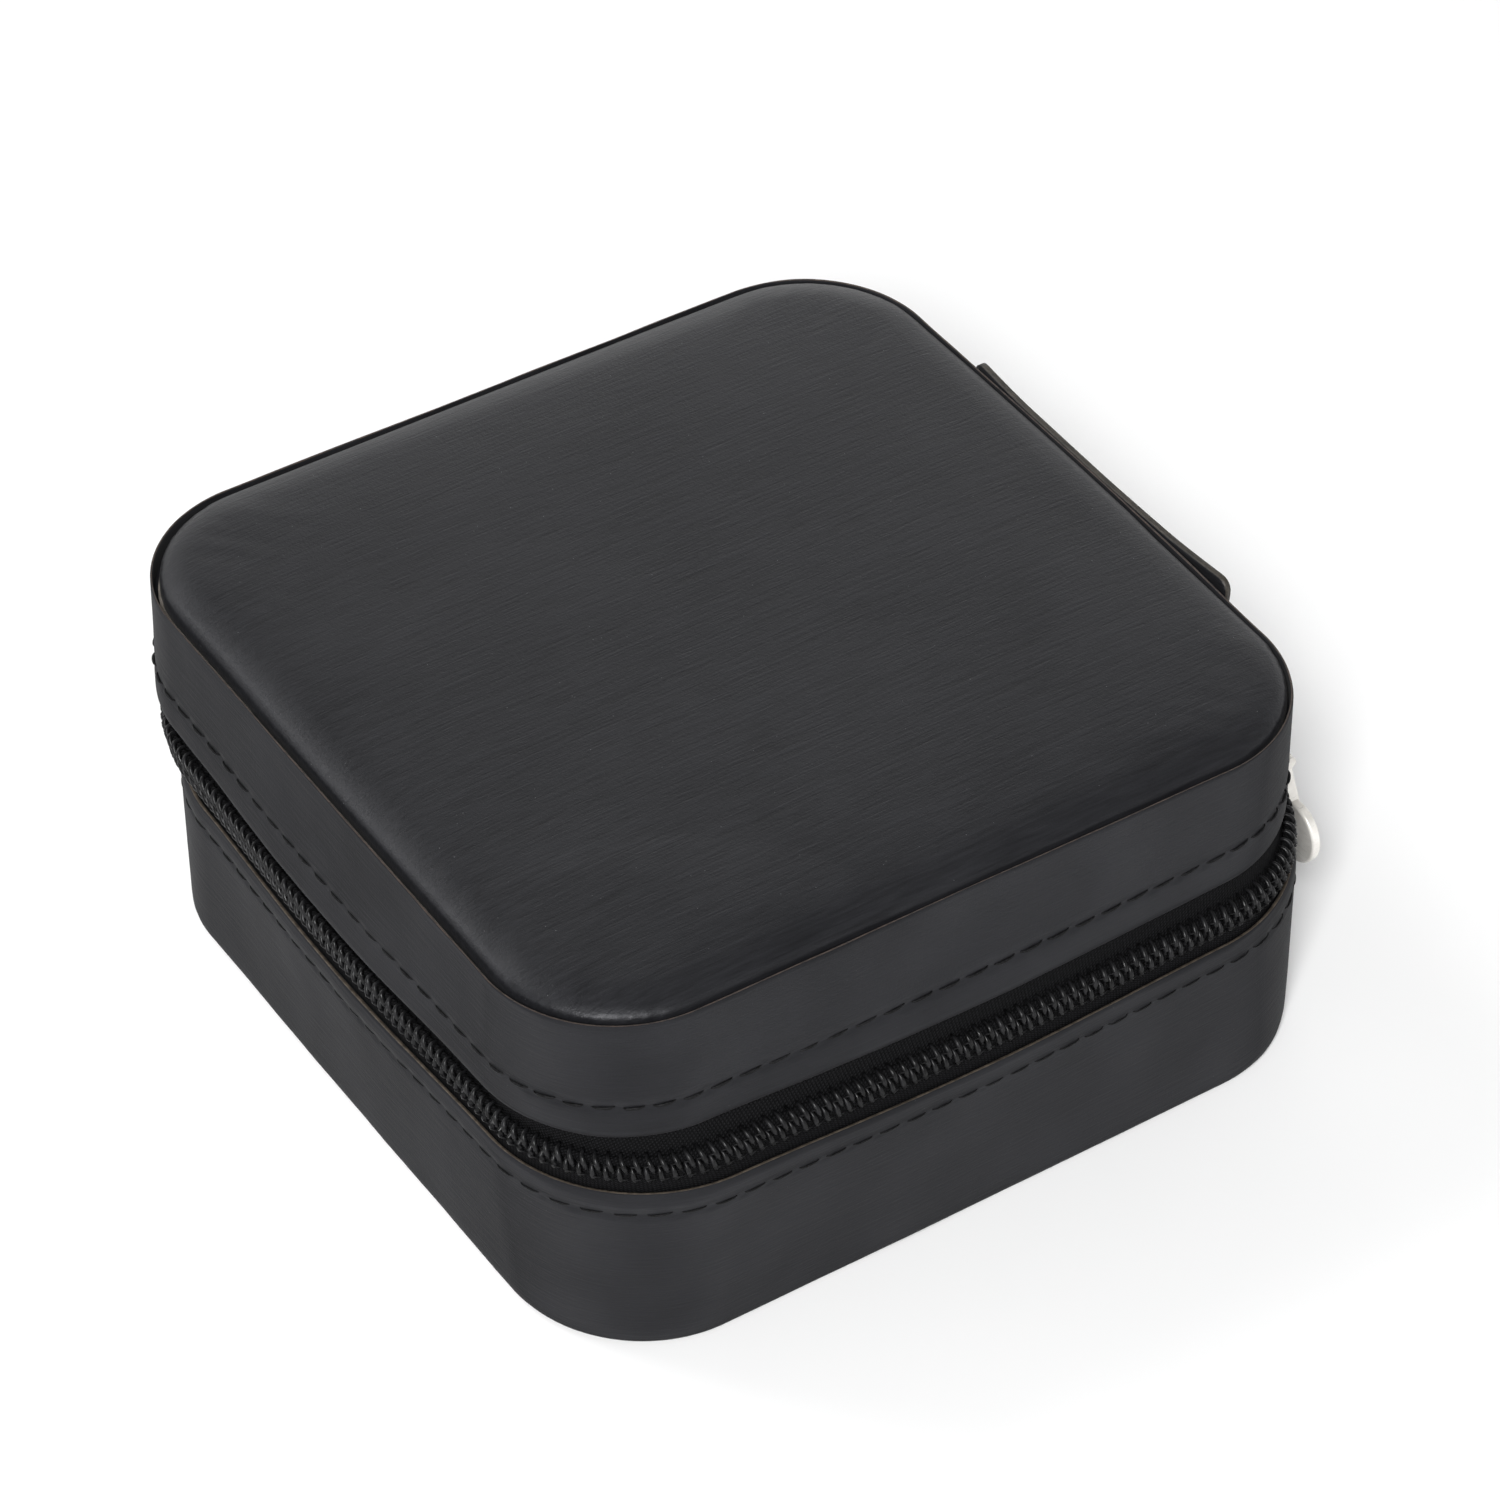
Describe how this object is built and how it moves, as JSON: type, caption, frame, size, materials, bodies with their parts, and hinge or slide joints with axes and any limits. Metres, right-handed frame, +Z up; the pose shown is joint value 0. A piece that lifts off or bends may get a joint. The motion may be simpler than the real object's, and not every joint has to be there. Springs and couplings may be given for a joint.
{
  "type": "jewellery case",
  "caption": "Small square zip-around leather travel jewellery case with padded lid on a strap hinge, inner velvet tray, ring rolls, lift-out dividers and lid mirror",
  "frame": {"origin": "middle of the flat face the closed case rests on, under the base outline's centre", "axes": "+Z up out of the padded lid, +Y to the hinge side, -Y the front, +X the side on which the closed zip ends"},
  "size_m": [0.1051, 0.1057, 0.0466],
  "materials": {
    "black_leather": "satin brushed grain",
    "greyboard": "matt board",
    "foam": "soft foam padding",
    "velvet": "short-pile velvet",
    "zip_tape": "woven polyester tape",
    "zip_coil": "nylon coil",
    "silver_metal": "plated zinc",
    "mirror_glass": "silvered glass"
  },
  "bodies": {
    "base": {"base_side_leather": "black_leather", "base_bottom_leather": "black_leather", "base_bottom_board": "greyboard", "base_wall_board": "greyboard", "tray_floor": "velvet", "tray_wall": "velvet", "tray_cross_wall": "velvet", "ring_rolls": "velvet", "zip_tape_lower": "zip_tape", "hinge_tape": "zip_tape", "zip_coil_lower": "zip_coil", "zip_bottom_stop": "silver_metal", "hinge_strap": "black_leather"},
    "lid": {"lid_side_leather": "black_leather", "lid_wall_board": "greyboard", "lid_wall_lining": "velvet", "lid_top_board": "greyboard", "lid_top_leather": "black_leather", "lid_foam": "foam", "lid_ceiling_lining": "velvet", "mirror_frame": "velvet", "mirror": "mirror_glass", "zip_tape_upper": "zip_tape", "zip_coil_upper": "zip_coil"},
    "slider": {"slider_body": "silver_metal"},
    "pull": {"pull_tab": "silver_metal"},
    "front_divider": {"divider_front": "velvet"},
    "rear_divider": {"divider_rear": "velvet"}
  },
  "joints": [
    {"name": "lid_hinge", "type": "hinge", "parent": "base", "child": "lid", "pos_m": [0, 0.0515, 0.0259], "axis": [-1, 0, 0], "range_deg": [0, 110], "deforming": ["hinge_strap", "hinge_tape"]},
    {"name": "zip_slider", "type": "hinge", "parent": "base", "child": "slider", "pos_m": [0.0297, 0.0307, 0.0259], "axis": [0, 0, -1], "range_deg": [0, 75], "deforming": ["zip_tape_lower", "zip_tape_upper", "zip_coil_lower", "zip_coil_upper"]},
    {"name": "pull_swing", "type": "hinge", "parent": "slider", "child": "pull", "pos_m": [0.0301, 0.0536, 0.0259], "axis": [1, 0, 0], "range_deg": [0, 150]},
    {"name": "front_divider_lift", "type": "slide", "parent": "base", "child": "front_divider", "axis": [0, 0, 1], "range_m": [0, 0.01]},
    {"name": "rear_divider_lift", "type": "slide", "parent": "base", "child": "rear_divider", "axis": [0, 0, 1], "range_m": [0, 0.01]}
  ]
}
